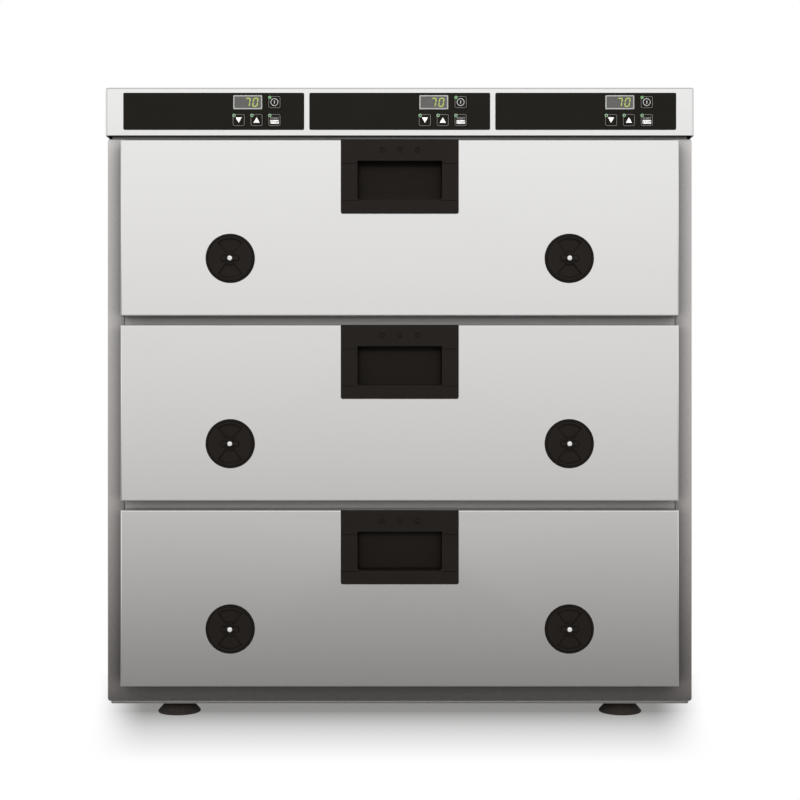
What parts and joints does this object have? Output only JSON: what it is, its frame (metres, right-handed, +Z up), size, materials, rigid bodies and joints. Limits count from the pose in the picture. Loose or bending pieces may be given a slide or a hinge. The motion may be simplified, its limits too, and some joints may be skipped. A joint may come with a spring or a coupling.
{
  "type": "countertop warming drawer",
  "caption": "Countertop warming cabinet: insulated steel casing, telescopic drawers that carry food pans, turning vents, and a low control head with displays and push keys.",
  "frame": {"origin": "on the floor, midway between the object's left and right sides and between its front and back ends", "axes": "+X to the right seen from the front, +Y to the back, +Z up; the drawers open towards -Y"},
  "size_m": [0.604, 0.5846, 0.6533],
  "materials": {
    "casing_steel": "satin",
    "front_steel": "satin",
    "sheet_steel": "satin",
    "liner_steel": "satin",
    "rail_steel": "satin",
    "pan_steel": "gloss",
    "probe_steel": "gloss",
    "heater_tube": "matte",
    "fastener_steel": "satin",
    "mineral_wool": "matte",
    "rubber": "matte",
    "silicone": "matte",
    "handle_plastic": "satin",
    "key_plastic": "satin",
    "gland_plastic": "matte",
    "fascia_plastic": "gloss",
    "circuit_board": "satin"
  },
  "bodies": {
    "cabinet": {"outer_casing": "casing_steel", "back_panel": "casing_steel", "base_plate": "sheet_steel", "rubber_feet": "rubber", "face_frame": "sheet_steel", "bay_liners": "liner_steel", "insulation": "mineral_wool", "fixed_rails": "rail_steel", "heating_elements": "heater_tube", "temperature_probes": "probe_steel", "electronics_tray": "sheet_steel", "top_cover": "casing_steel", "control_fascias": "fascia_plastic", "controller_boards": "circuit_board", "cable_gland": "gland_plastic"},
    "upper_drawer": {"upper_drawer_front": "front_steel", "upper_drawer_frame": "sheet_steel", "upper_drawer_gasket": "silicone", "upper_handle": "handle_plastic", "upper_vent_bases": "handle_plastic", "upper_front_fasteners": "fastener_steel", "upper_inner_rails": "rail_steel", "upper_food_pan": "pan_steel"},
    "upper_intermediate_rails": {"upper_intermediate_rails": "rail_steel"},
    "upper_left_vent_dial": {"upper_left_vent_dial": "handle_plastic"},
    "upper_right_vent_dial": {"upper_right_vent_dial": "handle_plastic"},
    "middle_drawer": {"middle_drawer_front": "front_steel", "middle_drawer_frame": "sheet_steel", "middle_drawer_gasket": "silicone", "middle_handle": "handle_plastic", "middle_vent_bases": "handle_plastic", "middle_front_fasteners": "fastener_steel", "middle_inner_rails": "rail_steel", "middle_food_pan": "pan_steel"},
    "middle_intermediate_rails": {"middle_intermediate_rails": "rail_steel"},
    "middle_left_vent_dial": {"middle_left_vent_dial": "handle_plastic"},
    "middle_right_vent_dial": {"middle_right_vent_dial": "handle_plastic"},
    "lower_drawer": {"lower_drawer_front": "front_steel", "lower_drawer_frame": "sheet_steel", "lower_drawer_gasket": "silicone", "lower_handle": "handle_plastic", "lower_vent_bases": "handle_plastic", "lower_front_fasteners": "fastener_steel", "lower_inner_rails": "rail_steel", "lower_food_pan": "pan_steel"},
    "lower_intermediate_rails": {"lower_intermediate_rails": "rail_steel"},
    "lower_left_vent_dial": {"lower_left_vent_dial": "handle_plastic"},
    "lower_right_vent_dial": {"lower_right_vent_dial": "handle_plastic"},
    "left_power_key": {"left_power_key": "key_plastic"},
    "left_down_key": {"left_down_key": "key_plastic"},
    "left_up_key": {"left_up_key": "key_plastic"},
    "left_start_key": {"left_start_key": "key_plastic"},
    "centre_power_key": {"centre_power_key": "key_plastic"},
    "centre_down_key": {"centre_down_key": "key_plastic"},
    "centre_up_key": {"centre_up_key": "key_plastic"},
    "centre_start_key": {"centre_start_key": "key_plastic"},
    "right_power_key": {"right_power_key": "key_plastic"},
    "right_down_key": {"right_down_key": "key_plastic"},
    "right_up_key": {"right_up_key": "key_plastic"},
    "right_start_key": {"right_start_key": "key_plastic"}
  },
  "joints": [
    {"name": "upper_drawer_slide", "type": "slide", "parent": "cabinet", "child": "upper_drawer", "axis": [0, -1, 0], "range_m": [0, 0.38]},
    {"name": "upper_intermediate_rails_slide", "type": "slide", "parent": "cabinet", "child": "upper_intermediate_rails", "axis": [0, -1, 0], "range_m": [0, 0.19]},
    {"name": "upper_left_vent_dial_turn", "type": "hinge", "parent": "upper_drawer", "child": "upper_left_vent_dial", "pos_m": [-0.172, -0.2887, 0.4765], "axis": [0, -1, 0], "range_deg": [0, 90]},
    {"name": "upper_right_vent_dial_turn", "type": "hinge", "parent": "upper_drawer", "child": "upper_right_vent_dial", "pos_m": [0.172, -0.2887, 0.4765], "axis": [0, -1, 0], "range_deg": [0, 90]},
    {"name": "middle_drawer_slide", "type": "slide", "parent": "cabinet", "child": "middle_drawer", "axis": [0, -1, 0], "range_m": [0, 0.38]},
    {"name": "middle_intermediate_rails_slide", "type": "slide", "parent": "cabinet", "child": "middle_intermediate_rails", "axis": [0, -1, 0], "range_m": [0, 0.19]},
    {"name": "middle_left_vent_dial_turn", "type": "hinge", "parent": "middle_drawer", "child": "middle_left_vent_dial", "pos_m": [-0.172, -0.2887, 0.2885], "axis": [0, -1, 0], "range_deg": [0, 90]},
    {"name": "middle_right_vent_dial_turn", "type": "hinge", "parent": "middle_drawer", "child": "middle_right_vent_dial", "pos_m": [0.172, -0.2887, 0.2885], "axis": [0, -1, 0], "range_deg": [0, 90]},
    {"name": "lower_drawer_slide", "type": "slide", "parent": "cabinet", "child": "lower_drawer", "axis": [0, -1, 0], "range_m": [0, 0.38]},
    {"name": "lower_intermediate_rails_slide", "type": "slide", "parent": "cabinet", "child": "lower_intermediate_rails", "axis": [0, -1, 0], "range_m": [0, 0.19]},
    {"name": "lower_left_vent_dial_turn", "type": "hinge", "parent": "lower_drawer", "child": "lower_left_vent_dial", "pos_m": [-0.172, -0.2887, 0.1005], "axis": [0, -1, 0], "range_deg": [0, 90]},
    {"name": "lower_right_vent_dial_turn", "type": "hinge", "parent": "lower_drawer", "child": "lower_right_vent_dial", "pos_m": [0.172, -0.2887, 0.1005], "axis": [0, -1, 0], "range_deg": [0, 90]},
    {"name": "left_power_key_press", "type": "slide", "parent": "cabinet", "child": "left_power_key", "axis": [0, 1, 0], "range_m": [0, 0.0005], "stiffness_N_per_m": 1500},
    {"name": "left_down_key_press", "type": "slide", "parent": "cabinet", "child": "left_down_key", "axis": [0, 1, 0], "range_m": [0, 0.0005], "stiffness_N_per_m": 1500},
    {"name": "left_up_key_press", "type": "slide", "parent": "cabinet", "child": "left_up_key", "axis": [0, 1, 0], "range_m": [0, 0.0005], "stiffness_N_per_m": 1500},
    {"name": "left_start_key_press", "type": "slide", "parent": "cabinet", "child": "left_start_key", "axis": [0, 1, 0], "range_m": [0, 0.0005], "stiffness_N_per_m": 1500},
    {"name": "centre_power_key_press", "type": "slide", "parent": "cabinet", "child": "centre_power_key", "axis": [0, 1, 0], "range_m": [0, 0.0005], "stiffness_N_per_m": 1500},
    {"name": "centre_down_key_press", "type": "slide", "parent": "cabinet", "child": "centre_down_key", "axis": [0, 1, 0], "range_m": [0, 0.0005], "stiffness_N_per_m": 1500},
    {"name": "centre_up_key_press", "type": "slide", "parent": "cabinet", "child": "centre_up_key", "axis": [0, 1, 0], "range_m": [0, 0.0005], "stiffness_N_per_m": 1500},
    {"name": "centre_start_key_press", "type": "slide", "parent": "cabinet", "child": "centre_start_key", "axis": [0, 1, 0], "range_m": [0, 0.0005], "stiffness_N_per_m": 1500},
    {"name": "right_power_key_press", "type": "slide", "parent": "cabinet", "child": "right_power_key", "axis": [0, 1, 0], "range_m": [0, 0.0005], "stiffness_N_per_m": 1500},
    {"name": "right_down_key_press", "type": "slide", "parent": "cabinet", "child": "right_down_key", "axis": [0, 1, 0], "range_m": [0, 0.0005], "stiffness_N_per_m": 1500},
    {"name": "right_up_key_press", "type": "slide", "parent": "cabinet", "child": "right_up_key", "axis": [0, 1, 0], "range_m": [0, 0.0005], "stiffness_N_per_m": 1500},
    {"name": "right_start_key_press", "type": "slide", "parent": "cabinet", "child": "right_start_key", "axis": [0, 1, 0], "range_m": [0, 0.0005], "stiffness_N_per_m": 1500}
  ],
  "couplings": [
    {"joint": "upper_intermediate_rails_slide", "follows": "upper_drawer_slide", "ratio": 0.5},
    {"joint": "middle_intermediate_rails_slide", "follows": "middle_drawer_slide", "ratio": 0.5},
    {"joint": "lower_intermediate_rails_slide", "follows": "lower_drawer_slide", "ratio": 0.5}
  ]
}
